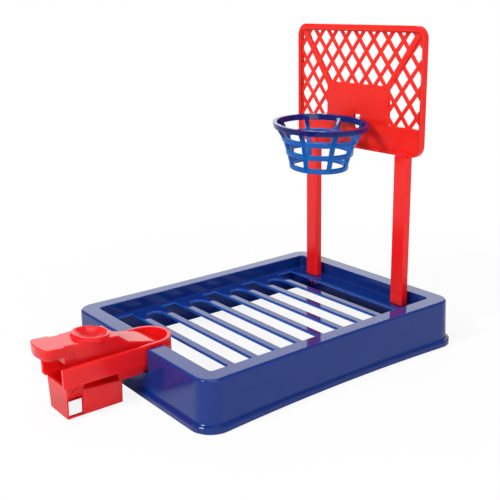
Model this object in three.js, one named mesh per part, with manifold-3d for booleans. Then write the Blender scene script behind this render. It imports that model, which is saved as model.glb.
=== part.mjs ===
// A tabletop basketball game in millimetres: a slatted tray, two posts that carry a backboard with
// a basket, and a sprung launcher that drops into a notch in the tray's front wall.
// +X is across the tray, +Y runs from the launcher to the backboard and +Z is up.
// The origin is on the table, below the middle of the tray.
import * as THREE from "three";
import { mergeVertices } from "three/addons/utils/BufferGeometryUtils.js";
import Module from "manifold-3d";

const wasm = await Module();
wasm.setup();

// Shared fits and fineness
const clearance = 0.3;
const overrun = 6;
const mergeTolerance = 0.001;
const cornerSteps = 5;
const roundSteps = 48;

// Tray
const trayWidth = 111.4;
const trayLength = 148;
const trayHeight = 23;
const trayCorner = 8;
const trayWall = 1.8;
const rimWidth = 8.6;
const rimEdge = 1.2;
const rimBow = 1;
const footOverhang = 2.3;
const footHeight = 3.3;
const footBow = 2.5;
const wallFlare = 0.6;
const trayDepth = 6.4;
const floorThickness = 1.4;
const pocketCorner = 1.5;
const sideSteps = 8;

// Slots through the tray's floor, with slats between them
const slatWidth = 4.1;
const slatCount = 8;
const fieldFrontGap = 7.7;
const fieldBackGap = 4;
const lastSlotExtra = 1.2;
const squareSlotGap = 2.1;
const roundSlotGap = 6.6;

// Notch in the tray's front wall
const notchHalf = 11.7;
const notchDepth = 11.2;

// Posts
const postSpacing = 63.7;
const postWidth = 8.3;
const postDepth = 3.8;
const postWall = 1.4;
const postRound = 0.8;
const postSetback = 15;
const postFoot = 2.8;
const postLip = 0.7;
const postLipHeight = 2.6;
const postLipLow = 3.2;
const pegWidth = 1.9;
const pegDepth = 1.9;
const pegSpacing = 4.2;
const pegLength = 4;

// Backboard
const boardWidth = 86.6;
const boardHeight = 60.6;
const boardRaise = 75.6;
const boardSetback = 1;
const boardDepth = 3.3;
const boardCorner = 6;
const boardBand = 3.2;
const boardFootBand = 1.6;
const boardEdge = 0.6;
const sheetRecess = 0.5;
const sheetDepth = 1.6;
const panelWidth = 43.4;
const panelRaise = 31.8;
const stripRaise = 13.3;
const strutWidth = 2.6;
const latticePitch = 9.76;
const latticeRow = 5.86;
const latticeTopGap = 6.73;
const latticeBar = 1.65;
const latticeDepth = 1.2;
const latticeColumns = 10;
const latticeRows = 9;
const tenonWidth = 4.6;
const tenonDepth = 1.5;
const tenonLength = 8;

// Slot in the board, above and below the top edge of the basket's ring
const slotAbove = 1.7;
const slotBelow = 5.3;
const slotWidth = 4.6;

// Hoop basket, which hangs from the slot by its tab and leans a little to one side in it
const hoopRaise = 15.5;
const hoopTwist = THREE.MathUtils.degToRad(3.6);
const hoopRadius = 23.7;
const hoopBand = 2.2;
const hoopBandHeight = 2.8;
const hoopFlare = 0.8;
const secondRadius = 19;
const thirdRadius = 16.7;
const fourthRadius = 14.7;
const secondDrop = 9;
const thirdDrop = 6.6;
const fourthDrop = 7;
const lowerBand = 2;
const lowerBandHeight = 2.4;
const basketBars = 8;
const barWidth = 2;
const barDepth = 1.7;
const tabWidth = 2.9;
const tabReach = 2.6;
const tabHook = 1.2;

// Launcher housing: two rails joined by a loop inside the tray, over a box at the outer end
const railReach = 38.6;
const railHalf = 10.9;
const railWall = 1.8;
const railProud = 1.3;
const railHeight = 8.8;
const loopInset = 7;
const deckThickness = 1.2;
const boxHalfTop = 9.3;
const boxHalfBottom = 8.1;
const boxSetback = 1.6;
const boxLength = 26;
const boxWall = 1.6;
const boxBottom = 0.5;
const boxFrontDrop = 0.6;
const windowInset = 1;
const windowLength = 5.5;
const windowBottom = 2;
const windowHeight = 7.3;
const recessDepth = 0.8;
const recessGap = 0.7;
const recessRib = 0.9;
const gapInset = 0.7;
const gapFrontDrop = 2.3;
const gapRearDrop = 3.8;

// Launch lever, with its heights above or below the rails' top edge
const leverHalf = 7.6;
const leverWall = 1.5;
const leverRoof = 1.6;
const neckHalf = 7;
const neckLength = 4.3;
const padHalf = 8.2;
const padReach = 5.9;
const padLength = 9;
const padCorner = 2.4;
const padBow = 1.2;
const padSkirt = 4.9;
const padAbove = 8.9;
const ridgeGap = 9.2;
const ridgeAbove = 6.8;
const kneeGap = 4.8;
const kneeAbove = 2.8;
const benchGap = 12.4;
const benchBelow = 0.4;
const noseBelow = 4.5;
const leverTilt = THREE.MathUtils.degToRad(8.5);
const pivotGap = 3;
const pivotBelow = 3.2;
const stubRadius = 1.5;
const dishSetback = 24.5;
const dishRadius = 8.3;
const dishRim = 1;
const dishRise = 1.3;
const dishLean = THREE.MathUtils.degToRad(6.4);
const dishDepth = 3.2;
const dishShell = 1.3;
const dishSteps = 6;
const dishFootShare = 0.7;
const dishWall = 2.4;

// Places on the tray that follow from the sizes above
const floorTop = trayHeight - trayDepth;
const floorUnder = floorTop - floorThickness;
const pocketHalfX = trayWidth / 2 - rimWidth;
const pocketHalfY = trayLength / 2 - rimWidth;
const notchHeight = trayHeight - notchDepth;
const postFront = trayLength / 2 - postSetback;
const fieldFront = fieldFrontGap - pocketHalfY;
const fieldBack = postFront - fieldBackGap;

// Places on the board and the basket
const boardBottom = floorTop + boardRaise;
const boardTop = boardBottom + boardHeight;
const boardFront = postFront + boardSetback;
const boardBack = boardFront + boardDepth;
const sheetFront = boardFront + sheetRecess;
const sheetBack = sheetFront + sheetDepth;
const windowHalf = boardWidth / 2 - boardBand;
const windowLow = boardBottom + boardFootBand;
const windowHigh = boardTop - boardBand;
const panelTop = boardBottom + panelRaise;
const stripTop = boardBottom + stripRaise;
const hoopTop = boardBottom + hoopRaise;
const lowerRings = [
  { radius: secondRadius, bottom: -secondDrop },
  { radius: thirdRadius, bottom: -secondDrop - thirdDrop },
  { radius: fourthRadius, bottom: -secondDrop - thirdDrop - fourthDrop },
];

// Places on the housing
const railTop = trayHeight + railProud;
const railBottom = railTop - railHeight;
const railEnd = -trayLength / 2 - railReach;
const loopCentre = loopInset - trayLength / 2;
const deckBottom = floorTop + clearance;
const deckTop = deckBottom + deckThickness;
const bandBottom = notchHeight + clearance;
const bandEnd = -pocketHalfY - clearance;
const boxFront = railEnd + boxSetback;
const boxRear = boxFront + boxLength;
const windowFront = boxFront + windowInset;
const windowRear = windowFront + windowLength;
const windowTop = windowBottom + windowHeight;

// Places on the lever
const padEnd = railEnd - padReach;
const neckFront = padEnd + padLength;
const neckRear = neckFront + neckLength;
const dishPlace = padEnd + dishSetback;
const ridgePlace = dishPlace + ridgeGap;
const kneePlace = ridgePlace + kneeGap;
const benchPlace = kneePlace + benchGap;
const padTop = railTop + padAbove;
const ridgeTop = railTop + ridgeAbove;
const kneeTop = railTop + kneeAbove;
const benchTop = railTop - benchBelow;
const noseTop = railTop - noseBelow;
const noseEnd = loopCentre + leverHalf;
const leverBottom = deckTop + clearance;
const pivotPlace = loopCentre - pivotGap;
const pivotHeight = railTop - pivotBelow;
const pivotHole = stubRadius + clearance;
const topSlope = (padTop - ridgeTop) / (padEnd - ridgePlace);
const dishLevel = ridgeTop + topSlope * (dishPlace - ridgePlace);

// Solids from three.js geometry

function solidOf(geometry) {
  const bare = geometry.index ? geometry.toNonIndexed() : geometry.clone();
  bare.deleteAttribute("normal");
  bare.deleteAttribute("uv");
  const merged = mergeVertices(bare, mergeTolerance);
  return new wasm.Manifold(
    new wasm.Mesh({
      numProp: 3,
      vertProperties: new Float32Array(merged.attributes.position.array),
      triVerts: new Uint32Array(merged.index.array),
    }),
  );
}

function union(solids) {
  return solids.reduce((all, one) => all.add(one));
}

function cut(body, tools) {
  return tools.reduce((left, tool) => left.subtract(tool), body);
}

function shapeOf(points) {
  return new THREE.Shape(points.map(([x, y]) => new THREE.Vector2(x, y)));
}

// An upright prism: an outline in X and Y between two heights.
function plate(shape, low, high) {
  const options = { depth: high - low, bevelEnabled: false, curveSegments: cornerSteps };
  const geometry = new THREE.ExtrudeGeometry(shape, options);
  return solidOf(geometry.translate(0, 0, low));
}

// A prism along X: an outline in Y and Z between two places across the tray.
function lengthwise(shape, low, high) {
  const options = { depth: high - low, bevelEnabled: false, curveSegments: cornerSteps };
  const turn = new THREE.Matrix4().makeBasis(
    new THREE.Vector3(0, 1, 0),
    new THREE.Vector3(0, 0, 1),
    new THREE.Vector3(1, 0, 0),
  );
  const geometry = new THREE.ExtrudeGeometry(shape, options).applyMatrix4(turn);
  return solidOf(geometry.translate(low, 0, 0));
}

// A prism along Y: an outline in X and Z between two places along the tray.
function upright(shape, near, far, edge = 0) {
  const options = {
    depth: far - near - 2 * edge,
    bevelEnabled: edge > 0,
    bevelThickness: edge,
    bevelSize: edge,
    bevelOffset: -edge,
    bevelSegments: 2,
    curveSegments: cornerSteps,
  };
  const turn = new THREE.Matrix4().makeBasis(
    new THREE.Vector3(1, 0, 0),
    new THREE.Vector3(0, 0, 1),
    new THREE.Vector3(0, -1, 0),
  );
  const geometry = new THREE.ExtrudeGeometry(shape, options).applyMatrix4(turn);
  return solidOf(geometry.translate(0, far - edge, 0));
}

function block(xLow, xHigh, yLow, yHigh, zLow, zHigh) {
  const outline = shapeOf([[xLow, yLow], [xHigh, yLow], [xHigh, yHigh], [xLow, yHigh]]);
  return plate(outline, zLow, zHigh);
}

function roundedRectangle(xLow, xHigh, yLow, yHigh, radius) {
  const shape = new THREE.Shape();
  const quarter = Math.PI / 2;
  shape.absarc(xHigh - radius, yHigh - radius, radius, 0, quarter, false);
  shape.absarc(xLow + radius, yHigh - radius, radius, quarter, Math.PI, false);
  shape.absarc(xLow + radius, yLow + radius, radius, Math.PI, 3 * quarter, false);
  shape.absarc(xHigh - radius, yLow + radius, radius, 3 * quarter, 4 * quarter, false);
  shape.closePath();
  return shape;
}

// A closed body through rings of points that run the same way round, lowest ring first.
function loft(rings) {
  const count = rings[0].length;
  const positions = rings.flat().flatMap((point) => [point.x, point.y, point.z]);
  const flat = (ring) => ring.map((point) => new THREE.Vector2(point.x, point.y));
  const index = [];
  rings.slice(1).forEach((ring, level) => {
    for (let i = 0; i < count; i++) {
      const a = level * count + i;
      const b = level * count + ((i + 1) % count);
      index.push(a, b, b + count, a, b + count, a + count);
    }
  });
  const top = (rings.length - 1) * count;
  for (const [a, b, c] of THREE.ShapeUtils.triangulateShape(flat(rings[0]), []))
    index.push(a, c, b);
  for (const [a, b, c] of THREE.ShapeUtils.triangulateShape(flat(rings.at(-1)), []))
    index.push(top + a, top + b, top + c);
  const geometry = new THREE.BufferGeometry();
  geometry.setAttribute("position", new THREE.Float32BufferAttribute(positions, 3));
  geometry.setIndex(index);
  return solidOf(geometry);
}

function turned(profile, steps = roundSteps) {
  const points = profile.map(([radius, height]) => new THREE.Vector2(radius, height));
  return new THREE.LatheGeometry(points, steps).rotateX(Math.PI / 2);
}

// Tray

// One ring of the tray's outline: round corners, and long sides that draw in at mid-length.
function trayRing(height, offset, bow) {
  const halfX = trayWidth / 2 + offset;
  const cornerX = trayWidth / 2 - trayCorner;
  const cornerY = trayLength / 2 - trayCorner;
  const radius = trayCorner + offset;
  const ring = [];
  for (let corner = 0; corner < 4; corner++) {
    const centreX = corner === 0 || corner === 3 ? cornerX : -cornerX;
    const centreY = corner < 2 ? cornerY : -cornerY;
    for (let step = 0; step <= cornerSteps; step++) {
      const angle = ((corner + step / cornerSteps) * Math.PI) / 2;
      const x = centreX + radius * Math.cos(angle);
      ring.push(new THREE.Vector3(x, centreY + radius * Math.sin(angle), height));
    }
    if (corner === 1 || corner === 3) {
      const side = corner === 1 ? -1 : 1;
      for (let step = 1; step < sideSteps; step++) {
        const along = side * ((2 * step) / sideSteps - 1);
        const drawn = bow * (1 - along * along);
        ring.push(new THREE.Vector3(side * (halfX - drawn), along * cornerY, height));
      }
    }
  }
  return ring;
}

function trayShell() {
  const wallFoot = footHeight + wallFlare;
  const wallBow = footBow - (footOverhang - wallFlare) / 2;
  return loft([
    trayRing(0, footOverhang - wallFlare / 2, footBow),
    trayRing(wallFlare, footOverhang, footBow),
    trayRing(footHeight - wallFlare, footOverhang, footBow),
    trayRing(footHeight, footOverhang - wallFlare, footBow),
    trayRing(wallFoot, wallFlare, wallBow),
    trayRing(trayHeight - rimEdge, 0, rimBow),
    trayRing(trayHeight - rimEdge * (1 - Math.SQRT1_2), -rimEdge * (1 - Math.SQRT1_2), rimBow),
    trayRing(trayHeight, -rimEdge, rimBow),
  ]);
}

function trayCavity() {
  const inset = footOverhang - trayWall;
  return loft([
    trayRing(-overrun, inset, footBow),
    trayRing(footHeight, inset, footBow),
    trayRing(trayHeight - trayWall, -trayWall, rimBow),
  ]);
}

// The front and back edge of each slot. The last slot is wider than the others.
function slotEdges() {
  const slats = slatCount * slatWidth;
  const slot = (fieldBack - fieldFront - slats - lastSlotExtra) / (slatCount + 1);
  const edges = [];
  for (let i = 0; i <= slatCount; i++) {
    const front = fieldFront + i * (slot + slatWidth);
    edges.push([front, i === slatCount ? fieldBack : front + slot]);
  }
  return edges;
}

// Slots with square ends take turns with shorter ones that have round ends.
function floorSlot([front, back], index) {
  const low = floorUnder - trayWall;
  const high = floorTop + trayWall;
  const squareHalf = pocketHalfX - squareSlotGap;
  if (index % 2 === 0) return block(-squareHalf, squareHalf, front, back, low, high);
  const roundHalf = pocketHalfX - roundSlotGap;
  const radius = (back - front) / 2;
  return plate(roundedRectangle(-roundHalf, roundHalf, front, back, radius), low, high);
}

function makeTray() {
  const wellHalfX = pocketHalfX + trayWall;
  const wellHalfY = pocketHalfY + trayWall;
  const wellCorner = pocketCorner + trayWall;
  const well = plate(
    roundedRectangle(-wellHalfX, wellHalfX, -wellHalfY, wellHalfY, wellCorner),
    floorUnder,
    trayHeight,
  );
  const saddleHalf = notchHalf + trayWall;
  const outside = -trayLength / 2 - overrun;
  const saddle = block(
    -saddleHalf, saddleHalf, outside, -pocketHalfY, notchHeight - trayWall, trayHeight,
  );
  const cavity = cut(trayCavity(), [well, saddle]);
  const pocket = plate(
    roundedRectangle(-pocketHalfX, pocketHalfX, -pocketHalfY, pocketHalfY, pocketCorner),
    floorTop,
    trayHeight + overrun,
  );
  const notch = block(
    -notchHalf, notchHalf, outside, -pocketHalfY, notchHeight, trayHeight + overrun,
  );
  const slots = slotEdges().map(floorSlot);
  const pegHoles = postPlaces().flatMap((place) => pegPlaces(place).map(pegHole));
  return cut(trayShell(), [cavity, pocket, notch, ...slots, ...pegHoles]);
}

// Posts

function postPlaces() {
  return [-postSpacing / 2, postSpacing / 2];
}

function pegPlaces(post) {
  return [post - pegSpacing / 2, post + pegSpacing / 2];
}

function pegBlock(place, grow, low, high) {
  const halfX = pegWidth / 2 + grow;
  const middle = postFront + postDepth / 2;
  const halfY = pegDepth / 2 + grow;
  return block(place - halfX, place + halfX, middle - halfY, middle + halfY, low, high);
}

function pegHole(place) {
  return pegBlock(place, clearance, floorUnder - trayWall, floorTop + trayWall);
}

// A channel that is open at the back, with a lip in front of the board's lower edge.
function makePost(place) {
  const left = place - postWidth / 2;
  const right = place + postWidth / 2;
  const bottom = floorTop + clearance;
  const top = boardBottom - clearance;
  const back = postFront + postDepth;
  const nose = postFront + postRound;
  const quarter = Math.PI / 2;
  const outline = new THREE.Shape();
  outline.absarc(right - postRound, nose, postRound, -quarter, 0, false);
  outline.lineTo(right, back);
  outline.lineTo(left, back);
  outline.absarc(left + postRound, nose, postRound, 2 * quarter, 3 * quarter, false);
  outline.closePath();
  const channel = block(
    left + postWall, right - postWall,
    postFront + postWall, back + overrun,
    bottom + postFoot, top + overrun,
  );
  const lip = upright(
    roundedRectangle(left, right, top - postLipLow, boardBottom + postLipHeight, postLipHeight / 2),
    postFront,
    postFront + postLip,
  );
  const pegs = pegPlaces(place).map((peg) =>
    pegBlock(peg, 0, bottom - pegLength, bottom + postWall),
  );
  return union([plate(outline, bottom, top).subtract(channel), lip, ...pegs]);
}

// Backboard

// The fields of the lattice: one over the panel and one on each side, between the struts.
function boardFields() {
  const panelHalf = panelWidth / 2;
  const run = windowHalf - panelHalf;
  const rise = windowHigh - panelTop;
  const length = Math.hypot(run, rise);
  const shiftX = ((strutWidth / 2) * length) / rise;
  const shiftZ = ((strutWidth / 2) * length) / run;
  const over = [
    [panelHalf - shiftX, panelTop],
    [windowHalf - shiftX, windowHigh],
    [shiftX - windowHalf, windowHigh],
    [shiftX - panelHalf, panelTop],
  ];
  const right = [
    [panelHalf, stripTop],
    [windowHalf, stripTop],
    [windowHalf, windowHigh - shiftZ],
    [panelHalf, panelTop - shiftZ],
  ];
  const left = right.map(([x, z]) => [-x, z]).reverse();
  return [over, right, left];
}

// The openings between crossing bars, as upright prisms with four corners each.
function latticeOpenings(near, far) {
  const length = Math.hypot(latticePitch / 2, latticeRow);
  const halfX = latticePitch / 2 - ((latticeBar / 2) * length) / latticeRow;
  const halfZ = (halfX * latticeRow) / (latticePitch / 2);
  const openings = [];
  for (let row = 0; row < latticeRows; row++) {
    const z = boardTop - latticeTopGap + latticeRow - row * latticeRow;
    const start = row % 2 === 1 ? latticePitch / 2 : 0;
    for (let column = 0; column < latticeColumns; column++) {
      const x = start + (column - latticeColumns / 2) * latticePitch;
      const corners = [[x - halfX, z], [x, z - halfZ], [x + halfX, z], [x, z + halfZ]];
      openings.push(upright(shapeOf(corners), near, far));
    }
  }
  return openings;
}

// The window inside the border, grown on every side.
function boardWindow(grow) {
  return roundedRectangle(
    -windowHalf - grow, windowHalf + grow,
    windowLow - grow, windowHigh + grow,
    boardCorner - boardBand,
  );
}

function makeBorder() {
  const half = boardWidth / 2;
  const outline = roundedRectangle(-half, half, boardBottom, boardTop, boardCorner);
  const slab = upright(outline, boardFront, boardBack, boardEdge);
  return slab.subtract(upright(boardWindow(0), boardFront - overrun, boardBack + overrun));
}

function makeLattice() {
  const near = sheetFront + (sheetDepth - latticeDepth) / 2;
  const far = near + latticeDepth;
  const openings = latticeOpenings(near - overrun, far + overrun);
  return cut(upright(boardWindow(boardEdge), near, far), openings);
}

function makeBackboard() {
  const fields = boardFields().map((field) =>
    upright(shapeOf(field), sheetFront - overrun, sheetBack + overrun),
  );
  const sheet = cut(upright(boardWindow(boardEdge), sheetFront, sheetBack), fields);
  const slotOutline = shapeOf([
    [-slotWidth / 2, hoopTop - slotBelow],
    [slotWidth / 2, hoopTop - slotBelow],
    [slotWidth / 2, hoopTop + slotAbove],
    [-slotWidth / 2, hoopTop + slotAbove],
  ]);
  const slot = upright(slotOutline, boardFront - overrun, boardBack + overrun);
  const tenons = postPlaces().map((place) =>
    block(
      place - tenonWidth / 2, place + tenonWidth / 2,
      sheetBack - tenonDepth, sheetBack,
      boardBottom - tenonLength, boardBottom + boardBand,
    ),
  );
  return union([makeBorder(), sheet, makeLattice(), ...tenons]).subtract(slot);
}

// Hoop basket, built with the middle of its top ring's upper edge at the origin

function ringSolid(radius, band, bottom, top, flare = 0) {
  const low = radius - flare;
  return solidOf(
    turned([
      [low - band, bottom],
      [low, bottom],
      [radius, top],
      [radius - band, top],
      [low - band, bottom],
    ]),
  );
}

// A bar that runs down inside the rings, bent at each of them.
function basketBar(turn) {
  const knees = [
    [hoopRadius - hoopFlare / 2 - hoopBand / 2, -hoopBandHeight / 2],
    ...lowerRings.map(({ radius, bottom }) => [
      radius - lowerBand / 2,
      bottom + lowerBandHeight / 2,
    ]),
  ];
  const inner = knees.map(([radius, height]) => [radius - barDepth / 2, height]);
  const outer = knees.map(([radius, height]) => [radius + barDepth / 2, height]);
  const side = shapeOf([...inner, ...outer.reverse()]);
  const bar = upright(side, -barWidth / 2, barWidth / 2);
  return bar.rotate([0, 0, THREE.MathUtils.radToDeg(turn)]);
}

function makeHoop() {
  const rings = lowerRings.map(({ radius, bottom }) =>
    ringSolid(radius, lowerBand, bottom, bottom + lowerBandHeight),
  );
  rings.push(ringSolid(hoopRadius, hoopBand, -hoopBandHeight, 0, hoopFlare));
  const bars = [];
  for (let i = 0; i < basketBars; i++)
    bars.push(basketBar(((i + 1 / 2) * 2 * Math.PI) / basketBars));
  const half = tabWidth / 2;
  const tabEnd = hoopRadius + clearance + sheetDepth + tabReach;
  const hookFront = hoopRadius + sheetDepth + 2 * clearance;
  const tab = block(-half, half, hoopRadius - hoopBand, tabEnd, -hoopBandHeight, 0);
  const hook = block(-half, half, hookFront, tabEnd, -hoopBandHeight - tabHook, 0);
  return union([...rings, ...bars, tab, hook]);
}

// Launcher housing

// The housing's outline seen from above: straight sides and a half-round end inside the tray.
function railOutline(half, end) {
  const shape = new THREE.Shape();
  shape.moveTo(-half, end);
  shape.lineTo(half, end);
  for (let step = 0; step <= roundSteps / 2; step++) {
    const angle = (2 * Math.PI * step) / roundSteps;
    shape.lineTo(half * Math.cos(angle), loopCentre + half * Math.sin(angle));
  }
  shape.closePath();
  return shape;
}

// The box narrows downwards: its outline at a height, drawn in by an inset.
function boxRing(height, inset, front, rear) {
  const raised = (height - boxBottom) / (railBottom - boxBottom);
  const half = boxHalfBottom + (boxHalfTop - boxHalfBottom) * raised - inset;
  return [
    new THREE.Vector3(-half, front, height),
    new THREE.Vector3(half, front, height),
    new THREE.Vector3(half, rear, height),
    new THREE.Vector3(-half, rear, height),
  ];
}

function boxBody() {
  const front = boxFront + boxWall;
  const rear = boxRear - boxWall;
  const top = railBottom + deckThickness / 2;
  const outer = loft([
    boxRing(boxBottom, 0, boxFront, boxRear),
    boxRing(top, 0, boxFront, boxRear),
  ]);
  const inner = loft([
    boxRing(boxBottom - overrun, boxWall, front, rear),
    boxRing(railBottom + overrun, boxWall, front, rear),
  ]);
  const lowered = block(
    -railHalf, railHalf, boxFront - overrun, front, railBottom - boxFrontDrop, railTop,
  );
  return outer.subtract(inner).subtract(lowered);
}

// The holes through the box's side walls: a window, and a long gap under each rail.
function boxHoles() {
  const rear = boxRear - boxWall;
  const window = [
    [windowFront, windowBottom],
    [windowRear, windowBottom],
    [windowRear, windowTop],
    [windowFront, windowTop],
  ];
  const gap = [
    [windowRear + gapInset, railBottom - gapFrontDrop],
    [rear, railBottom - gapRearDrop],
    [rear, railBottom],
    [windowRear + gapInset, railBottom],
  ];
  return [window, gap].map((corners) => lengthwise(shapeOf(corners), -railHalf, railHalf));
}

// Two triangles sunk over each window, with a slanting rib left between them.
function windowRecesses() {
  const low = windowTop + recessGap;
  const high = railBottom - recessGap;
  const inner = boxHalfTop - boxWall + recessDepth;
  const triangles = [
    [[windowFront, low], [windowRear - recessRib, high], [windowFront, high]],
    [[windowFront + recessRib, low], [windowRear, low], [windowRear, high]],
  ];
  return triangles.flatMap((corners) => [
    lengthwise(shapeOf(corners), inner, railHalf + overrun),
    lengthwise(shapeOf(corners), -railHalf - overrun, -inner),
  ]);
}

// The rails and the deck between them, which steps up where it enters the tray.
function makeRails() {
  const outer = railOutline(railHalf, railEnd);
  const inner = railOutline(railHalf - railWall, railEnd - overrun);
  const beyond = loopCentre + railHalf + overrun;
  const step = bandEnd - deckThickness;
  const walls = plate(outer, railBottom, railTop).subtract(
    plate(inner, railBottom - overrun, railTop + overrun),
  );
  const deck = lengthwise(
    shapeOf([
      [railEnd, railBottom],
      [bandEnd, railBottom],
      [bandEnd, deckBottom],
      [beyond, deckBottom],
      [beyond, deckTop],
      [step, deckTop],
      [step, railBottom + deckThickness],
      [railEnd, railBottom + deckThickness],
    ]),
    -railHalf,
    railHalf,
  ).intersect(plate(outer, railBottom, deckTop));
  const raised = block(
    -railHalf - overrun, railHalf + overrun, bandEnd, beyond, railBottom - overrun, deckBottom,
  );
  return union([walls.subtract(raised), deck]);
}

// The lower band that joins the box to the step of the deck, in the tray's notch.
function makeBand() {
  const half = boxHalfTop;
  const top = railBottom + deckThickness / 2;
  const body = block(-half, half, boxRear - boxWall, bandEnd, bandBottom, top);
  const inside = block(
    boxWall - half, half - boxWall, boxRear, bandEnd - boxWall, bandBottom - overrun, railBottom,
  );
  return body.subtract(inside);
}

function makeHousing() {
  const wellHalf = boxHalfTop - boxWall;
  const well = block(
    -wellHalf, wellHalf, railEnd - overrun, boxRear - boxWall, boxBottom - overrun, railTop,
  );
  const pivotHoles = lengthwise(
    circle(pivotPlace, pivotHeight, pivotHole),
    -railHalf - overrun,
    railHalf + overrun,
  );
  const shell = union([makeRails().subtract(well), boxBody(), makeBand()]);
  return cut(shell, [pivotHoles, ...boxHoles(), ...windowRecesses()]);
}

function circle(x, y, radius) {
  const shape = new THREE.Shape();
  shape.absarc(x, y, radius, 0, 2 * Math.PI, false);
  return shape;
}

// Launch lever

// The lever's outline seen from above: round nose, straight body, short neck and a pad with a bowed end.
function leverOutline(inset) {
  const body = leverHalf - inset;
  const neck = neckHalf - inset;
  const pad = padHalf - inset;
  const corner = padCorner - inset;
  const end = padEnd + inset;
  const shape = new THREE.Shape();
  for (let step = 0; step <= roundSteps / 2; step++) {
    const angle = (2 * Math.PI * step) / roundSteps;
    const x = body * Math.cos(angle);
    const y = loopCentre + body * Math.sin(angle);
    if (step === 0) shape.moveTo(x, y);
    else shape.lineTo(x, y);
  }
  shape.lineTo(-body, neckRear + inset);
  shape.lineTo(-neck, neckRear + inset);
  shape.lineTo(-neck, neckFront);
  shape.lineTo(-pad, neckFront - inset);
  shape.absarc(corner - pad, end + padBow + corner, corner, Math.PI, 1.5 * Math.PI, false);
  shape.quadraticCurveTo(0, end - padBow, pad - corner, end + padBow);
  shape.absarc(pad - corner, end + padBow + corner, corner, 1.5 * Math.PI, 2 * Math.PI, false);
  shape.lineTo(pad, neckFront - inset);
  shape.lineTo(neck, neckFront);
  shape.lineTo(neck, neckRear + inset);
  shape.lineTo(body, neckRear + inset);
  shape.closePath();
  return shape;
}

// The height of the lever's underside at a place along it.
function undersideAt(place) {
  return leverBottom + Math.max(0, (pivotPlace - place) * Math.tan(leverTilt));
}

// The lever's side view, which runs past the outline at both ends.
function leverProfile() {
  const beyond = noseEnd + clearance;
  const fall = ((benchTop - noseTop) * clearance) / (noseEnd - benchPlace);
  return shapeOf([
    [padEnd - overrun, padTop - topSlope * overrun],
    [padEnd - overrun, padTop - padSkirt],
    [neckFront, padTop - padSkirt],
    [neckFront, undersideAt(neckFront)],
    [pivotPlace, leverBottom],
    [beyond, leverBottom],
    [beyond, noseTop - fall],
    [benchPlace, benchTop],
    [kneePlace, kneeTop],
    [ridgePlace, ridgeTop],
  ]);
}

// The hollow under the lever, which leaves a roof, side walls and a web under the pad's inner edge.
function leverHollow() {
  const roofAt = (place) => ridgeTop + topSlope * (place - ridgePlace) - leverRoof;
  const low = leverBottom - 2 * overrun;
  const bodyFront = neckFront + leverWall;
  const bodyRear = pivotPlace - 2 * stubRadius;
  const padRear = neckFront - leverWall / 2;
  const body = shapeOf([
    [bodyFront, roofAt(bodyFront)],
    [bodyFront, low],
    [bodyRear, low],
    [bodyRear, benchTop - leverRoof],
    [kneePlace, kneeTop - leverRoof],
    [ridgePlace, ridgeTop - leverRoof],
  ]);
  const pad = shapeOf([
    [padEnd, roofAt(padEnd)],
    [padEnd, low],
    [padRear, low],
    [padRear, roofAt(neckFront)],
  ]);
  const inside = plate(leverOutline(leverWall), leverBottom - overrun, padTop);
  return union([body, pad].map((side) => lengthwise(side, -leverHalf, leverHalf))).intersect(inside);
}

// The dish: a shallow bowl with a raised rim, which leans in a little more than the lever's top.
function dishParts() {
  const mouth = dishRadius - dishRim;
  const ball = (mouth * mouth + dishDepth * dishDepth) / (2 * dishDepth);
  const low = dishRise - dishDepth;
  const shellLow = low - dishShell;
  const shellBall = ball + dishShell;
  const bowl = [[0, low]];
  const outside = [[0, shellLow]];
  for (let step = 1; step <= dishSteps; step++) {
    const angle = (Math.asin(mouth / ball) * step) / dishSteps;
    const foot = angle * dishFootShare;
    bowl.push([ball * Math.sin(angle), low + ball * (1 - Math.cos(angle))]);
    outside.push([shellBall * Math.sin(foot), shellLow + shellBall * (1 - Math.cos(foot))]);
  }
  outside.push([dishRadius, dishRise - dishWall], [dishRadius, dishRise], [0, dishRise]);
  bowl.push([mouth, dishRise + overrun], [0, dishRise + overrun]);
  const place = (profile) => {
    const geometry = turned(profile);
    geometry.rotateX(-dishLean);
    return solidOf(geometry.translate(0, dishPlace, dishLevel));
  };
  return { outside: place(outside), bowl: place(bowl) };
}

function makeLever() {
  const profile = lengthwise(leverProfile(), -padHalf - overrun, padHalf + overrun);
  const shell = profile.intersect(plate(leverOutline(0), leverBottom - overrun, padTop + overrun));
  const stub = lengthwise(
    circle(pivotPlace, pivotHeight, stubRadius),
    clearance - railHalf,
    railHalf - clearance,
  );
  const { outside, bowl } = dishParts();
  return union([shell.subtract(leverHollow()), stub, outside]).subtract(bowl);
}

// Materials

function plastic(color, roughness) {
  return new THREE.MeshStandardMaterial({ color, roughness, metalness: 0 });
}

// The game

function meshOf(name, solid, material) {
  const data = solid.getMesh();
  const geometry = new THREE.BufferGeometry();
  geometry.setAttribute("position", new THREE.Float32BufferAttribute(data.vertProperties, 3));
  geometry.setIndex(new THREE.Uint32BufferAttribute(data.triVerts, 1));
  geometry.computeVertexNormals();
  const mesh = new THREE.Mesh(geometry, material);
  mesh.name = name;
  return mesh;
}

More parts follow.
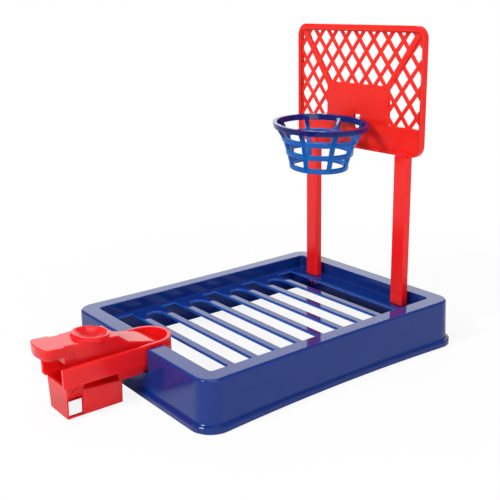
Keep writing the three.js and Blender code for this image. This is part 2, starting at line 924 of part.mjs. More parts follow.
function buildGame() {
  const game = new THREE.Group();
  game.add(meshOf("tray", makeTray(), plastic(0x203f94, 0.3)));
  const [left, right] = postPlaces();
  game.add(meshOf("post_left", makePost(left), plastic(0xd8161a, 0.35)));
  game.add(meshOf("post_right", makePost(right), plastic(0xd8161a, 0.35)));
  game.add(meshOf("backboard", makeBackboard(), plastic(0xee3028, 0.35)));
  const hoop = new THREE.Group();
  hoop.position.set(0, sheetFront - clearance - hoopRadius, hoopTop - hoopBandHeight / 2);
  hoop.rotation.y = hoopTwist;
  const basket = meshOf("hoop_basket", makeHoop(), plastic(0x1d62b4, 0.3));
  basket.position.z = hoopBandHeight / 2;
  hoop.add(basket);
  game.add(hoop);
  const launcher = new THREE.Group();
  launcher.add(meshOf("launcher_housing", makeHousing(), plastic(0xe02a33, 0.35)));
  launcher.add(meshOf("launch_lever", makeLever(), plastic(0xe02a33, 0.35)));
  game.add(launcher);
  return game;
}

export default buildGame();
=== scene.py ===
# %% [markdown]
# # A tabletop basketball game
# A ball is thrown from a lever into a small basket. The game is moulded in a few plastic pieces
# that snap together: a tray, two posts, a backboard, a basket and a launcher.
#
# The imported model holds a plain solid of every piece, in the frame that is used here too: +X
# across the tray, +Y from the launcher to the backboard and +Z up, with the table at zero. The
# pieces are drawn again here with finer shapes. That is done in millimetres, because the mouldings
# are small, and each piece is scaled to metres when it is finished.

import math

import bmesh
import bpy
from mathutils import Matrix, Vector


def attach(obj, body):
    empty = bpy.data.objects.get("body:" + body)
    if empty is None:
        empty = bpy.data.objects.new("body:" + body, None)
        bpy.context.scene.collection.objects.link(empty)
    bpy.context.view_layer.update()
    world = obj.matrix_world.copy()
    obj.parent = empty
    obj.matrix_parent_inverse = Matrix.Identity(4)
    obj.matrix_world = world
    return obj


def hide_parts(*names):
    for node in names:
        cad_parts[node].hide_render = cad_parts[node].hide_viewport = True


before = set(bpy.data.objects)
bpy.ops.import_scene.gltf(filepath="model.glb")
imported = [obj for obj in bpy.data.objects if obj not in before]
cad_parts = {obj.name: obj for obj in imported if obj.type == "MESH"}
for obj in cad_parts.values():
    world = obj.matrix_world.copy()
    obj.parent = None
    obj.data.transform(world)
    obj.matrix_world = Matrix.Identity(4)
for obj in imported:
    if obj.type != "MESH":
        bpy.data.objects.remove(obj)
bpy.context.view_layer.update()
MM = 0.001
QUARTER = math.pi / 2
scene = bpy.context.scene
print("nodes", sorted(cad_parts))

# %% [markdown]
# Moulded pieces are drawn as outlines first. Round corners are arcs with many short steps, so
# their edge looks smooth from close by.

# %% Outlines
def arc(x, y, radius, start, end, steps):
    turns = [start + (end - start) * i / steps for i in range(steps + 1)]
    return [(x + radius * math.cos(a), y + radius * math.sin(a)) for a in turns]


def rounded(x_low, x_high, y_low, y_high, radius, steps=8):
    centres = (
        (x_high - radius, y_high - radius),
        (x_low + radius, y_high - radius),
        (x_low + radius, y_low + radius),
        (x_high - radius, y_low + radius),
    )
    points = []
    for i, (x, y) in enumerate(centres):
        points += arc(x, y, radius, i * QUARTER, (i + 1) * QUARTER, steps)
    return points


print("a rounded outline has", len(rounded(0, 10, 0, 5, 1)), "points")

# %% [markdown]
# An outline becomes a solid in one of three ways: pushed straight along an axis, turned round an
# upright axis, or lofted through rings that change on their way up.

# %% Solids
WELD = 0.0005


def solid(points, faces):
    mesh = bpy.data.meshes.new("solid")
    mesh.from_pydata(points, [], faces)
    work = bmesh.new()
    work.from_mesh(mesh)
    bmesh.ops.remove_doubles(work, verts=work.verts, dist=WELD)
    bmesh.ops.recalc_face_normals(work, faces=work.faces)
    work.to_mesh(mesh)
    work.free()
    made = bpy.data.objects.new("solid", mesh)
    scene.collection.objects.link(made)
    return made


def loft(rings, closed=False):
    count = len(rings[0])
    points = [point for ring in rings for point in ring]
    faces = []
    for level in range(len(rings) if closed else len(rings) - 1):
        low, high = level * count, (level + 1) % len(rings) * count
        for i in range(count):
            j = (i + 1) % count
            faces.append((low + i, low + j, high + j, high + i))
    if not closed:
        faces.append(tuple(range(count)))
        faces.append(tuple(range(len(points) - count, len(points))))
    return solid(points, faces)


def pushed(outline, low, high, along="Z"):
    """X takes (y, z) points, Y takes (x, z) points and Z takes (x, y) points."""
    if along == "X":
        return loft([[(at, a, b) for a, b in outline] for at in (low, high)])
    if along == "Y":
        return loft([[(a, at, b) for a, b in outline] for at in (low, high)])
    return loft([[(a, b, at) for a, b in outline] for at in (low, high)])


def block(x_low, x_high, y_low, y_high, z_low, z_high):
    outline = [(x_low, y_low), (x_high, y_low), (x_high, y_high), (x_low, y_high)]
    return pushed(outline, z_low, z_high)


print("points closer than", WELD, "mm become one")

# %% [markdown]
# Rings and bowls are round about an upright axis. A ring's section is drawn once and carried round
# the axis, and a bowl is a loft of circles.

# %% Round solids
RING_STEPS, DOME_STEPS = 96, 72


def turned(profile):
    """A closed (radius, height) profile, away from the axis, becomes a ring."""
    rings = []
    for step in range(RING_STEPS):
        angle = 2 * math.pi * step / RING_STEPS
        rings.append([(r * math.cos(angle), r * math.sin(angle), z) for r, z in profile])
    return loft(rings, closed=True)


def dome(profile):
    """An open (radius, height) profile, lowest point first, becomes a round solid."""
    angles = [2 * math.pi * step / DOME_STEPS for step in range(DOME_STEPS)]
    return loft([[(r * math.cos(a), r * math.sin(a), z) for a in angles] for r, z in profile])


print("a ring has", RING_STEPS, "steps, a bowl", DOME_STEPS)

# %% [markdown]
# Real moulds have cores that leave hollows and cutters that leave slots. Joins and cuts do the
# same here: each tool runs a little past the face that it cuts, so no thin skin stays behind.

# %% Joins and cuts
OVERRUN = 1.0


def combine(base, how, tools):
    for tool in tools:
        step = base.modifiers.new("step", "BOOLEAN")
        step.operation, step.solver, step.object = how, "EXACT", tool
    graph = bpy.context.evaluated_depsgraph_get()
    mesh = bpy.data.meshes.new_from_object(base.evaluated_get(graph))
    base.modifiers.clear()
    base.data = mesh
    for tool in tools:
        bpy.data.objects.remove(tool)
    return base


def cut(base, *tools):
    return combine(base, "DIFFERENCE", tools)


def join(base, *tools):
    return combine(base, "UNION", tools)


def meet(base, tool):
    return combine(base, "INTERSECT", [tool])


print("cutting tools run", OVERRUN, "mm past a face")

# %% [markdown]
# Many small tools that don't touch can work as one, which is much faster than a cut for each. A
# shape that is easier to draw upright is turned and moved to its place afterwards.

# %% Groups and places
def together(parts):
    """Solids that don't touch each other, as one tool."""
    work = bmesh.new()
    for part in parts:
        work.from_mesh(part.data)
        bpy.data.objects.remove(part)
    mesh = bpy.data.meshes.new("tools")
    work.to_mesh(mesh)
    work.free()
    made = bpy.data.objects.new("tools", mesh)
    scene.collection.objects.link(made)
    return made


def placed(made, matrix):
    made.data.transform(matrix)
    return made


# %% [markdown]
# Every moulding has edges that are slightly round, and they catch a thin line of light. They come
# from a bevel on a piece's sharp edges. The basket has none, because its sections are drawn round.
# Flat neighbours become one face first, except on the board and the basket, where such faces would
# have a great many corners. A finished piece takes the place of its plain solid in the frame, and
# rides on the body that carries it.

# %% Finishing a piece
JOINED_WELD, FLAT, SHARP = 0.002, math.radians(0.4), math.radians(32)


def finished(made, name, body, material, edge, steps=2, merge=True):
    work = bmesh.new()
    work.from_mesh(made.data)
    bmesh.ops.remove_doubles(work, verts=work.verts, dist=JOINED_WELD)
    if merge:
        bmesh.ops.dissolve_limit(work, angle_limit=FLAT, verts=work.verts, edges=work.edges)
    else:
        bmesh.ops.triangulate(work, faces=[face for face in work.faces if len(face.verts) > 4])
    bmesh.ops.scale(work, vec=(MM, MM, MM), verts=work.verts)
    for face in work.faces:
        face.smooth = True
    work.to_mesh(made.data)
    work.free()
    made.name = made.data.name = name + "_moulding"
    made.data.materials.clear()
    made.data.materials.append(material)
    if edge:
        bevel = made.modifiers.new("round_edges", "BEVEL")
        bevel.width, bevel.segments = edge * MM, steps
        bevel.limit_method, bevel.angle_limit = "ANGLE", SHARP
        bevel.use_clamp_overlap = False
    weighted = made.modifiers.new("even_shading", "WEIGHTED_NORMAL")
    weighted.keep_sharp = True
    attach(made, body)
    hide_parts(name)
    print(name, len(made.data.polygons), "faces before the bevel")
    return made


print("edges sharper than", round(math.degrees(SHARP)), "degrees are rounded")

# %% [markdown]
# A material is a tree of nodes. Setting up each node by hand takes many lines, so three helpers do
# it: one turns a screen colour into linear light, one adds a node with its values, and one does a
# sum with nodes.

# %% Node helpers
def linear(red, green, blue):
    def one(v):
        v /= 255
        return v / 12.92 if v <= 0.04045 else ((v + 0.055) / 1.055) ** 2.4
    return tuple(one(v) for v in (red, green, blue))


def node_of(tree, kind, **values):
    node = tree.nodes.new(kind)
    for key, value in values.items():
        if key in node.inputs:
            node.inputs[key].default_value = value
        else:
            setattr(node, key, value)
    return node


def math_of(tree, operation, *values):
    node = node_of(tree, "ShaderNodeMath", operation=operation)
    for socket, value in zip(node.inputs, values):
        if isinstance(value, (int, float)):
            socket.default_value = value
        else:
            tree.links.new(value, socket)
    return node.outputs[0]


print("a mid grey of 128 is", round(linear(128, 128, 128)[0], 3), "in linear light")

# %% [markdown]
# Gloss plastic is coloured all through. Light goes a little way in and comes out again near by, so
# thin places seem to glow. A picture could paint the faint smears that hands leave, but noise in
# the nodes is enough and has no seams: a slow noise shifts the colour, a finer one the roughness,
# and the finest one gives a slight grain.

# %% Plastic
CLOUDS, SMEARS, GRAIN = 38.0, 120.0, 260.0
SMOOTHEST, ROUGHEST = 0.85, 1.2
GRAIN_STRENGTH, GRAIN_DEPTH, GLOW_DEPTH = 0.03, 0.0001, 0.002


def moulded_plastic(name, colour, deep, roughness, specular, glow, glow_radius):
    material = bpy.data.materials.new(name)
    material.use_nodes = True
    tree = material.node_tree
    link = tree.links.new
    shader = tree.nodes["Principled BSDF"]
    place = node_of(tree, "ShaderNodeTexCoord")
    clouds = node_of(tree, "ShaderNodeTexNoise", Scale=CLOUDS, Detail=3.0)
    link(place.outputs["Object"], clouds.inputs["Vector"])
    tint = node_of(tree, "ShaderNodeMix", data_type="RGBA")
    tint.inputs["A"].default_value = (*colour, 1)
    tint.inputs["B"].default_value = (*deep, 1)
    link(clouds.outputs["Fac"], tint.inputs["Factor"])
    link(tint.outputs["Result"], shader.inputs["Base Color"])
    worn = node_of(tree, "ShaderNodeMapRange")
    worn.inputs["To Min"].default_value = roughness * SMOOTHEST
    worn.inputs["To Max"].default_value = roughness * ROUGHEST
    smears = node_of(tree, "ShaderNodeTexNoise", Scale=SMEARS, Detail=4.0)
    link(place.outputs["Object"], smears.inputs["Vector"])
    link(smears.outputs["Fac"], worn.inputs["Value"])
    link(worn.outputs["Result"], shader.inputs["Roughness"])
    grain = node_of(tree, "ShaderNodeTexNoise", Scale=GRAIN, Detail=2.0)
    link(place.outputs["Object"], grain.inputs["Vector"])
    bump = node_of(tree, "ShaderNodeBump", Strength=GRAIN_STRENGTH, Distance=GRAIN_DEPTH)
    link(grain.outputs["Fac"], bump.inputs["Height"])
    link(bump.outputs["Normal"], shader.inputs["Normal"])
    shader.inputs["Specular IOR Level"].default_value = specular
    shader.inputs["Subsurface Weight"].default_value = glow
    shader.inputs["Subsurface Scale"].default_value = GLOW_DEPTH
    shader.inputs["Subsurface Radius"].default_value = glow_radius
    return material


print("smears are", round(1000 / SMEARS), "mm apart, clouds", round(1000 / CLOUDS), "mm")

# %% [markdown]
# Each kind of moulding has a plastic of its own, and the three reds differ a little. The glow
# spreads farthest in the colour that the plastic lets through: red in the reds, and blue in the
# blues.

# %% Colours
RED_GLOW, LAUNCHER_GLOW, BLUE_GLOW = (1.0, 0.15, 0.12), (3.0, 0.2, 0.2), (0.1, 0.5, 1.4)
navy = moulded_plastic(
    "navy_plastic", linear(14, 50, 129), linear(11, 44, 119),
    roughness=0.06, specular=0.33, glow=0.2, glow_radius=BLUE_GLOW,
)
board_red = moulded_plastic(
    "board_red", (0.9, 0.019, 0.01), (0.86, 0.015, 0.008),
    roughness=0.25, specular=0.25, glow=0.5, glow_radius=RED_GLOW,
)
post_red = moulded_plastic(
    "post_red", (0.92, 0.012, 0.012), (0.88, 0.01, 0.01),
    roughness=0.18, specular=0.3, glow=0.15, glow_radius=RED_GLOW,
)
launcher_red = moulded_plastic(
    "launcher_red", (0.84, 0.013, 0.017), (0.8, 0.011, 0.015),
    roughness=0.16, specular=0.3, glow=1.0, glow_radius=LAUNCHER_GLOW,
)
blue = moulded_plastic(
    "blue_plastic", linear(3, 102, 184), linear(3, 90, 172),
    roughness=0.12, specular=0.22, glow=0.4, glow_radius=BLUE_GLOW,
)
print("plastics", [made.name for made in (navy, board_red, post_red, launcher_red, blue)])

# %% [markdown]
# The tray is one shell. Its outline is a rectangle with round corners whose long sides draw in
# towards the middle, less at the rim and more at the foot. The wall leans out a little on its way
# down and ends in a round bead that stands on the table. It is lofted, because an outline that is
# only pushed up couldn't change on the way.

# %% Tray shell
TRAY_WIDTH, TRAY_LENGTH, TRAY_HEIGHT = 111.4, 148, 23
TRAY_CORNER, TRAY_WALL = 8, 1.8
RIM_EDGE = 1.2


def tray_ring(height, offset, bow, corner_steps=14, side_steps=20):
    half = TRAY_WIDTH / 2 + offset
    x, y = TRAY_WIDTH / 2 - TRAY_CORNER, TRAY_LENGTH / 2 - TRAY_CORNER
    ring = []
    for corner in range(4):
        centre_x = x if corner in (0, 3) else -x
        centre_y = y if corner < 2 else -y
        start = corner * QUARTER
        ring += arc(centre_x, centre_y, TRAY_CORNER + offset, start, start + QUARTER, corner_steps)
        if corner in (1, 3):
            side = -1 if corner == 1 else 1
            for step in range(1, side_steps):
                along = side * (2 * step / side_steps - 1)
                ring.append((side * (half - bow * (1 - along * along)), along * y))
    return [(a, b, height) for a, b in ring]


# Each row is a height, how far the ring stands out there and how far its long sides draw in.
bead = [(0, 1.9, 2.5), (0.25, 2.15, 2.5), (0.7, 2.3, 2.5), (2.6, 2.3, 2.5), (3.05, 2.15, 2.45)]
cove = [(3.3, 1.7, 2.3), (3.4, 1.1, 1.9), (3.6, 0.75, 1.75), (4.1, 0.58, 1.63)]
rim = [
    (TRAY_HEIGHT - RIM_EDGE * (1 - math.sin(t)), -RIM_EDGE * (1 - math.cos(t)), 1.0)
    for t in [QUARTER * i / 6 for i in range(7)]
]
tray = loft([tray_ring(*values) for values in bead + cove + rim])
print("tray shell", len(tray.data.vertices), "points")

# %% [markdown]
# The pocket that the ball rolls in is sunk in the top. Below, the shell is hollow, and its wall,
# the pocket's wall and floor keep about the same thickness, as mouldings do so that they cool
# evenly.

# %% Tray hollows
RIM_WIDTH, POCKET_DEPTH, FLOOR_THICK = 8.6, 6.4, 1.4
POCKET_CORNER, WELL_CORNER = 1.5, 3.3
POCKET_X, POCKET_Y = TRAY_WIDTH / 2 - RIM_WIDTH, TRAY_LENGTH / 2 - RIM_WIDTH
FLOOR_TOP = TRAY_HEIGHT - POCKET_DEPTH
FLOOR_UNDER = FLOOR_TOP - FLOOR_THICK
NOTCH_HALF, NOTCH_HEIGHT = 11.7, TRAY_HEIGHT - 11.2
OUTSIDE = -TRAY_LENGTH / 2 - 5

cavity = loft([tray_ring(-1, 0.5, 2.5), tray_ring(3.3, 0.5, 2.5), tray_ring(21.2, -1.8, 1.0)])
well_x, well_y = POCKET_X + TRAY_WALL, POCKET_Y + TRAY_WALL
well = pushed(rounded(-well_x, well_x, -well_y, well_y, WELL_CORNER), FLOOR_UNDER, TRAY_HEIGHT)
saddle = block(
    -NOTCH_HALF - TRAY_WALL, NOTCH_HALF + TRAY_WALL, OUTSIDE, -POCKET_Y,
    NOTCH_HEIGHT - TRAY_WALL, TRAY_HEIGHT + 2,
)
pocket = pushed(
    rounded(-POCKET_X, POCKET_X, -POCKET_Y, POCKET_Y, POCKET_CORNER),
    FLOOR_TOP, TRAY_HEIGHT + OVERRUN,
)
notch = block(
    -NOTCH_HALF, NOTCH_HALF, OUTSIDE, OVERRUN - POCKET_Y, NOTCH_HEIGHT, TRAY_HEIGHT + OVERRUN
)
tray = cut(tray, cut(cavity, well, saddle), pocket, notch)
print("pocket", round(2 * POCKET_X, 1), "by", round(2 * POCKET_Y, 1), "mm")

# %% [markdown]
# The floor is a row of slots with slats between them. Long slots with square ends take turns with
# shorter ones that have round ends. The posts plug into four small square holes behind them.

# %% Tray slots
SLAT, SLATS, LAST_EXTRA = 4.1, 8, 1.2
FIELD_FRONT, FIELD_BACK = 7.7 - POCKET_Y, 55.0
ROUND_INSET, SQUARE_INSET, SQUARE_CORNER = 6.6, 2.1, 0.25
POSTS = (-63.7 / 2, 63.7 / 2)
POST_FRONT, POST_DEPTH = 59.0, 3.8
PEG_SIDES, HOLE_HALF = (-2.1, 2.1), 1.25

through = (FLOOR_UNDER - 2, FLOOR_TOP + 2)
slot = (FIELD_BACK - FIELD_FRONT - SLATS * SLAT - LAST_EXTRA) / (SLATS + 1)
slots = []
for i in range(SLATS + 1):
    front = FIELD_FRONT + i * (slot + SLAT)
    back = FIELD_BACK if i == SLATS else front + slot
    if i % 2:
        half, radius = POCKET_X - ROUND_INSET, (back - front) / 2 - 0.001
    else:
        half, radius = POCKET_X - SQUARE_INSET, SQUARE_CORNER
    outline = rounded(-half, half, front, back, radius, 14 if i % 2 else 2)
    slots.append(pushed(outline, *through))
middle = POST_FRONT + POST_DEPTH / 2
for post in POSTS:
    for side in PEG_SIDES:
        left, right = post + side - HOLE_HALF, post + side + HOLE_HALF
        slots.append(block(left, right, middle - HOLE_HALF, middle + HOLE_HALF, *through))
tray = cut(tray, together(slots))
tray = finished(tray, "tray", "game", navy, edge=0.55, steps=3)
print("slots", round(slot, 2), "mm wide, slats", SLAT, "mm")

# %% [markdown]
# Light also comes through the thin floor and makes the edges of its slots glow a brighter blue
# than the walls. That glow is painted into the colour. The slots are part of the tray's mesh, so
# the painted glow is placed by position: inside a flat box just under the floor's top.

# %% Slot edges
# The colour of the painted glow at the slot edges.
SLOT_PAINTED_GLOW = linear(18, 92, 194)
tree = navy.node_tree
shader = tree.nodes["Principled BSDF"]
plain = shader.inputs["Base Color"].links[0].from_socket
inside = node_of(tree, "ShaderNodeSeparateXYZ")
tree.links.new(node_of(tree, "ShaderNodeTexCoord").outputs["Object"], inside.inputs[0])
spans = (
    (-POCKET_X + 1, POCKET_X - 1),
    (FIELD_FRONT - 0.5, FIELD_BACK + 0.5),
    (FLOOR_UNDER - 0.2, FLOOR_TOP - 0.3),
)
mask = 1.0
for socket, (low, high) in zip(inside.outputs, spans):
    near = math_of(tree, "COMPARE", socket, (low + high) / 2 * MM, (high - low) / 2 * MM)
    mask = math_of(tree, "MULTIPLY", near, mask)
# The painted glow is mixed into the colour inside the box.
bright = node_of(tree, "ShaderNodeMix", data_type="RGBA")
bright.inputs["B"].default_value = (*SLOT_PAINTED_GLOW, 1)
tree.links.new(mask, bright.inputs["Factor"])
tree.links.new(plain, bright.inputs["A"])
tree.links.new(bright.outputs["Result"], shader.inputs["Base Color"])
print("bright edges lie between", [round(v, 1) for v in spans[2]], "mm up")

# %% [markdown]
# Each post is a channel that is open at the back, with two pegs below for the tray's holes. A lip
# at its top stands in front of the backboard's lower edge and keeps the board from tipping
# forward. Pieces that plug into each other are drawn with a small gap between them, as real ones
# have.

# %% Posts
GAP = 0.3
POST_WIDTH, POST_WALL, POST_ROUND, POST_SOLE = 8.3, 1.4, 0.8, 2.8
POST_BOTTOM, BOARD_BOTTOM = FLOOR_TOP + GAP, FLOOR_TOP + 75.6
LIP_LOW, LIP_HIGH, LIP_DEPTH, LIP_CORNER = 3.2, 2.6, 0.5, 1.3
PEG_HALF, PEG_LENGTH = 0.95, 5.2
for name, post in zip(("post_left", "post_right"), POSTS):
    left, right = post - POST_WIDTH / 2, post + POST_WIDTH / 2
    top, back = BOARD_BOTTOM - GAP, POST_FRONT + POST_DEPTH
    nose = POST_FRONT + POST_ROUND
    outline = arc(right - POST_ROUND, nose, POST_ROUND, -QUARTER, 0, 6)
    outline += [(right, back), (left, back)]
    outline += arc(left + POST_ROUND, nose, POST_ROUND, 2 * QUARTER, 3 * QUARTER, 6)
    channel = block(
        left + POST_WALL, right - POST_WALL, POST_FRONT + POST_WALL, back + OVERRUN,
        POST_BOTTOM + POST_SOLE, top + OVERRUN,
    )
    lip = rounded(
        left + POST_ROUND, right - POST_ROUND, top - LIP_LOW, BOARD_BOTTOM + LIP_HIGH,
        LIP_CORNER, 10,
    )
    middle = back / 2 + POST_FRONT / 2
    pegs = [
        block(
            post + side - PEG_HALF, post + side + PEG_HALF, middle - PEG_HALF, middle + PEG_HALF,
            POST_BOTTOM - PEG_LENGTH, POST_BOTTOM + POST_WALL,
        )
        for side in PEG_SIDES
    ]
    body = cut(pushed(outline, POST_BOTTOM, top), channel)
    body = join(body, pushed(lip, POST_FRONT, POST_FRONT + LIP_DEPTH, "Y"), *pegs)
    finished(body, name, "game", post_red, edge=0.2)

# %% [markdown]
# The backboard is one moulding: a border, a thin sheet with two struts, and a net. Each is drawn
# and cut alone, because cuts on simple solids stay clean, and then they are joined. The border
# comes first. Its inner edge slopes in. Its back isn't seen in the photograph, and is made hollow
# inside a narrow lip, as such mouldings often are.

# %% Board border
BOARD_TOP, BOARD_HALF, BOARD_CORNER, LIP = BOARD_BOTTOM + 60.6, 43.3, 6, 1.3
BOARD_FRONT, BOARD_BACK = 59.7, 63.0
WINDOW_HALF, WINDOW_LOW, WINDOW_HIGH = BOARD_HALF - 1.7, BOARD_BOTTOM + 1.7, BOARD_TOP - 3.2
WINDOW_CORNER, SLOPE_OUT, SLOPE_BACK = 2.8, 1.0, 60.4
SHEET_FRONT, SHEET_BACK = 60.5, 62.3


def window_outline(grow):
    half = WINDOW_HALF + grow
    return rounded(-half, half, WINDOW_LOW - grow, WINDOW_HIGH + grow, WINDOW_CORNER + grow / 2)


board = pushed(
    rounded(-BOARD_HALF, BOARD_HALF, BOARD_BOTTOM, BOARD_TOP, BOARD_CORNER, 14),
    BOARD_FRONT, BOARD_BACK, "Y",
)
slope = loft([
    [(x, y, z) for x, z in window_outline(grow)]
    for y, grow in ((BOARD_FRONT - 0.1, SLOPE_OUT), (SLOPE_BACK, 0))
])
back_outline = rounded(
    LIP - BOARD_HALF, BOARD_HALF - LIP, BOARD_BOTTOM + LIP, BOARD_TOP - LIP, BOARD_CORNER - LIP, 14
)
board = cut(
    board,
    slope,
    pushed(window_outline(0), BOARD_FRONT, BOARD_BACK + OVERRUN, "Y"),
    pushed(back_outline, SHEET_BACK, BOARD_BACK + OVERRUN, "Y"),
)
print("board", round(2 * BOARD_HALF, 1), "by", round(BOARD_TOP - BOARD_BOTTOM, 1), "mm")

# %% [markdown]
# The sheet is a strip along the bottom and a plain panel above its middle, with a strut from the
# panel to each upper corner. One plate is cut by the three fields that the net fills. It reaches a
# little under the border, so the join has no crack.

# %% Board sheet
PANEL_HALF, PANEL_TOP, STRIP_TOP = 21.3, BOARD_BOTTOM + 32.1, BOARD_BOTTOM + 13.5
STRUT_END, STRUT_ABOVE, STRUT_BELOW, TUCK = BOARD_HALF - 3.4, 1.6, 1.2, 0.6

run, rise = STRUT_END - PANEL_HALF, WINDOW_HIGH - PANEL_TOP
length = math.hypot(run, rise)
above, below = STRUT_ABOVE * length / rise, STRUT_BELOW * length / run
margin = WINDOW_HALF - STRUT_END
over = [
    (PANEL_HALF - above, PANEL_TOP), (STRUT_END - above, WINDOW_HIGH),
    (above - STRUT_END, WINDOW_HIGH), (above - PANEL_HALF, PANEL_TOP),
]
beside = [
    (PANEL_HALF, STRIP_TOP), (WINDOW_HALF, STRIP_TOP),
    (WINDOW_HALF, WINDOW_HIGH - below + margin * rise / run), (PANEL_HALF, PANEL_TOP - below),
]
fields = [over, beside, [(-x, z) for x, z in reversed(beside)]]
sheet = pushed(window_outline(TUCK), SHEET_FRONT, SHEET_BACK, "Y")
sheet = cut(sheet, together([
    pushed(field, SHEET_FRONT - OVERRUN, SHEET_BACK + OVERRUN, "Y") for field in fields
]))
print("sheet", round(SHEET_BACK - SHEET_FRONT, 1), "mm thick, panel", 2 * PANEL_HALF, "mm wide")

# %% [markdown]
# The net's bars cross at a slant. Each bar could be drawn and joined, but every crossing would be
# a join, so a plate is cut by rows of diamonds instead. The bars are thinner than the sheet and
# lie back from its face.

# %% Board net
PITCH, ROW, NET_ROWS, NET_COLUMNS = 9.64, 5.86, 9, 10
NET_TOP, NET_SHIFT = BOARD_TOP - 6.73, 0.35
BAR, BAR_DEPTH, NET_FRONT = 1.95, 0.9, 61.3

half_x = PITCH / 2 - BAR / 2 * math.hypot(PITCH / 2, ROW) / ROW
half_z = half_x * ROW / (PITCH / 2)
holes = []
for row in range(NET_ROWS):
    z = NET_TOP + ROW - row * ROW
    for column in range(NET_COLUMNS):
        x = (column - NET_COLUMNS // 2 + (row % 2) / 2) * PITCH + NET_SHIFT
        diamond = [(x - half_x, z), (x, z - half_z), (x + half_x, z), (x, z + half_z)]
        holes.append(pushed(diamond, NET_FRONT - OVERRUN, NET_FRONT + BAR_DEPTH + OVERRUN, "Y"))
print("net has", len(holes), "diamonds,", round(2 * half_x, 1), "mm wide")
net = pushed(window_outline(TUCK), NET_FRONT, NET_FRONT + BAR_DEPTH, "Y")
net = cut(net, together(holes))

# %% [markdown]
# Two tenons below the board plug into the posts' channels. A slot in the panel takes the basket's
# tab, and is wider than the tab, which leaves the basket some play.

# %% Backboard
TENON_FRONT, TENON_BACK, TENON_HALF, TENON_LOW, TENON_HIGH = 60.6, 62.1, 2.3, 8, 3.2
HOOP_TOP = BOARD_BOTTOM + 15.5
SLOT_LEFT, SLOT_RIGHT, SLOT_BELOW, SLOT_ABOVE = -1.8, 2.6, 5.3, 1.6

tenons = [
    block(
        post - TENON_HALF, post + TENON_HALF, TENON_FRONT, TENON_BACK,
        BOARD_BOTTOM - TENON_LOW, BOARD_BOTTOM + TENON_HIGH,
    )
    for post in POSTS
]
tab_slot = block(
    SLOT_LEFT, SLOT_RIGHT, BOARD_FRONT - OVERRUN, BOARD_BACK + OVERRUN,
    HOOP_TOP - SLOT_BELOW, HOOP_TOP + SLOT_ABOVE,
)
board = cut(join(board, sheet, net, *tenons), tab_slot)
finished(board, "backboard", "game", board_red, edge=0.28, merge=False)

# %% [markdown]
# The basket is four rings on eight bars. It is drawn upright with the middle of its top ring at
# zero, where round shapes are easy, then moved to the board. Its tab plugs through the slot and a
# hook drops behind the board. The tab has some play there, so the basket leans a little to one
# side.

# %% Basket
HOOP_RADIUS, HOOP_BAND, HOOP_HEIGHT, HOOP_FLARE = 23.7, 2.2, 2.8, 0.8
LOWER = ((19.0, -9.0), (16.7, -15.6), (14.7, -22.6))
LOWER_BAND, LOWER_HEIGHT = 2.0, 2.4
RIBS, RIB_HALF, RIB_IN, RIB_OUT = 8, 1.15, 0.85, 1.0
TAB_HALF, HOOK_FRONT, HOOK_DROP, TAB_REACH = 1.45, 2.2, 1.2, 2.6
LEAN, SEAT = 3.6, 0.7


def ring(radius, band, bottom, height, flare=0.0, soft=0.6):
    profile = rounded(radius - band, radius, bottom, bottom + height, soft, 5)
    return turned([(r - flare * (bottom + height - z) / height, z) for r, z in profile])


def bar(turn):
    knees = [(HOOP_RADIUS - 1.5, -1.4)]
    knees += [(radius - LOWER_BAND / 2, z + LOWER_HEIGHT / 2) for radius, z in LOWER]
    section = rounded(-RIB_HALF, RIB_HALF, -RIB_IN, RIB_OUT, 0.5, 4)
    made = loft([[(radius + b, a, z) for a, b in section] for radius, z in reversed(knees)])
    return placed(made, Matrix.Rotation(turn, 4, "Z"))


basket = ring(HOOP_RADIUS, HOOP_BAND, -HOOP_HEIGHT, HOOP_HEIGHT, HOOP_FLARE, 0.3)
parts = [ring(radius, LOWER_BAND, z, LOWER_HEIGHT) for radius, z in LOWER]
parts += [bar((i + 0.5) * math.pi / (RIBS / 2)) for i in range(RIBS)]
tab_end = HOOP_RADIUS + GAP + 1.6 + TAB_REACH
hook = HOOP_RADIUS + HOOK_FRONT
parts += [
    block(-TAB_HALF, TAB_HALF, HOOP_RADIUS - HOOP_BAND, tab_end, -HOOP_HEIGHT, 0),
    block(-TAB_HALF, TAB_HALF, hook, tab_end, -HOOP_HEIGHT - HOOK_DROP, -HOOP_HEIGHT / 2),
]
basket = join(basket, *parts)
lean = Matrix.Rotation(math.radians(LEAN), 4, "Y")
root = Vector((0, BOARD_FRONT + SEAT - HOOP_RADIUS, HOOP_TOP - HOOP_HEIGHT / 2))
placed(basket, Matrix.Translation(root) @ lean @ Matrix.Translation((0, 0, HOOP_HEIGHT / 2)))
finished(basket, "hoop_basket", "game", blue, edge=0, merge=False)

# %% [markdown]
# The basket's plastic lets some light through, so its thin lower rings look bright and its broad
# top ring looks dark. That light and shade is painted into the colour, which changes with height.

# %% Basket colour
# The deep blue of the painted shade on the top ring.
TOP_RING_PAINTED_SHADE = linear(10, 28, 106)
PALE_BELOW, DARK_ABOVE = HOOP_TOP - 7.5, HOOP_TOP - 2.0
tree = blue.node_tree
shader = tree.nodes["Principled BSDF"]
thin = shader.inputs["Base Color"].links[0].from_socket
place = node_of(tree, "ShaderNodeTexCoord")
height = node_of(tree, "ShaderNodeSeparateXYZ")
down = node_of(tree, "ShaderNodeMapRange", interpolation_type="SMOOTHSTEP")
down.inputs["From Min"].default_value = PALE_BELOW * MM
down.inputs["From Max"].default_value = DARK_ABOVE * MM
# Painted light and shade: the colour darkens with height towards the deep blue.
shade = node_of(tree, "ShaderNodeMix", data_type="RGBA")
shade.inputs["B"].default_value = (*TOP_RING_PAINTED_SHADE, 1)
tree.links.new(place.outputs["Object"], height.inputs[0])
tree.links.new(height.outputs["Z"], down.inputs["Value"])
tree.links.new(down.outputs["Result"], shade.inputs["Factor"])
tree.links.new(thin, shade.inputs["A"])
tree.links.new(shade.outputs["Result"], shader.inputs["Base Color"])
print("top ring turns dark from", round(PALE_BELOW, 1), "mm up")

